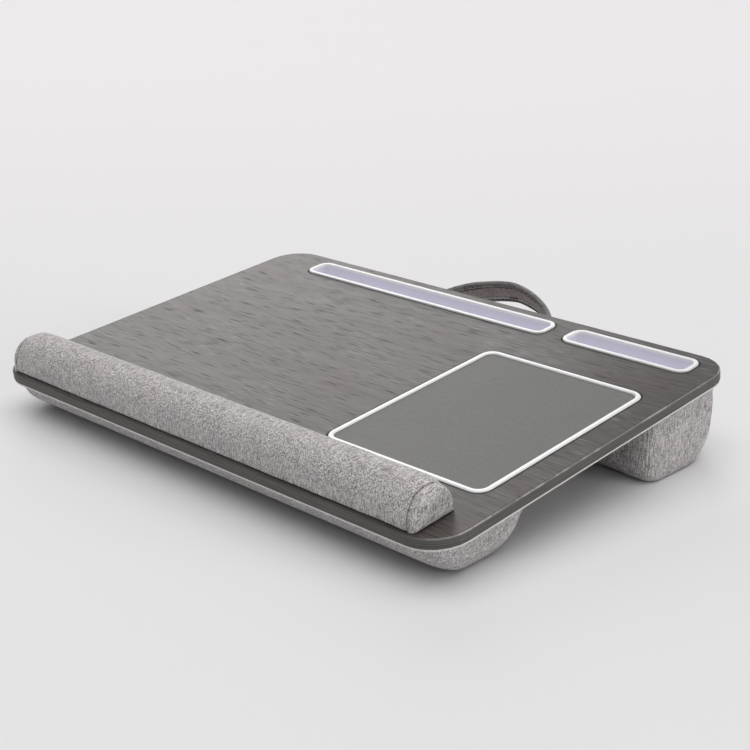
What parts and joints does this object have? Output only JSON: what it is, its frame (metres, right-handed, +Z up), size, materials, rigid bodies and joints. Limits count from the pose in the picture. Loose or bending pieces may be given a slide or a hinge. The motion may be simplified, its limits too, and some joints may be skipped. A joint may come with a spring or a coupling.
{
  "type": "laptop table",
  "caption": "Cushioned lap desk: a tilted board on two fabric bolsters, with a wrist rest, a mouse pad, a pen tray, a phone slot and a strap handle.",
  "frame": {"origin": "on the floor plane, below the middle of the whole object's bounding box, with the strap handle in its rest pose", "axes": "+X to the user's right along the board's long side, +Y from the user to the rear edge with the handle, +Z up"},
  "size_m": [0.52, 0.405, 0.0868],
  "materials": {
    "fibreboard": "matte",
    "woodgrain_laminate": "satin",
    "edge_band": "satin",
    "lining_cloth": "matte",
    "pad_sheet": "matte",
    "white_plastic": "gloss",
    "heathered_fabric": "matte",
    "foam": "matte",
    "webbing": "matte"
  },
  "bodies": {
    "table": {"board_core": "fibreboard", "top_laminate": "woodgrain_laminate", "edge_band": "edge_band", "base_lining": "lining_cloth", "mouse_pad": "pad_sheet", "mouse_pad_border": "white_plastic", "tray_insert": "white_plastic", "phone_slot_insert": "white_plastic", "wrist_rest_base": "fibreboard", "wrist_rest_foam": "foam", "wrist_rest_cover": "heathered_fabric", "wrist_rest_welt_left": "heathered_fabric", "wrist_rest_welt_right": "heathered_fabric", "wrist_rest_end_left": "heathered_fabric", "wrist_rest_end_right": "heathered_fabric", "front_cushion_foam": "foam", "front_cushion_cover": "heathered_fabric", "rear_cushion_foam": "foam", "rear_cushion_cover": "heathered_fabric", "handle_anchor_left": "heathered_fabric", "handle_anchor_right": "heathered_fabric"},
    "handle": {"handle_core": "webbing", "handle_outer_ply": "heathered_fabric", "handle_inner_ply": "heathered_fabric"}
  },
  "joints": [
    {"name": "handle_swing", "type": "hinge", "parent": "table", "child": "handle", "pos_m": [0, 0.16144, 0.05558], "axis": [1, 0, 0], "range_deg": [-121, 18]}
  ]
}
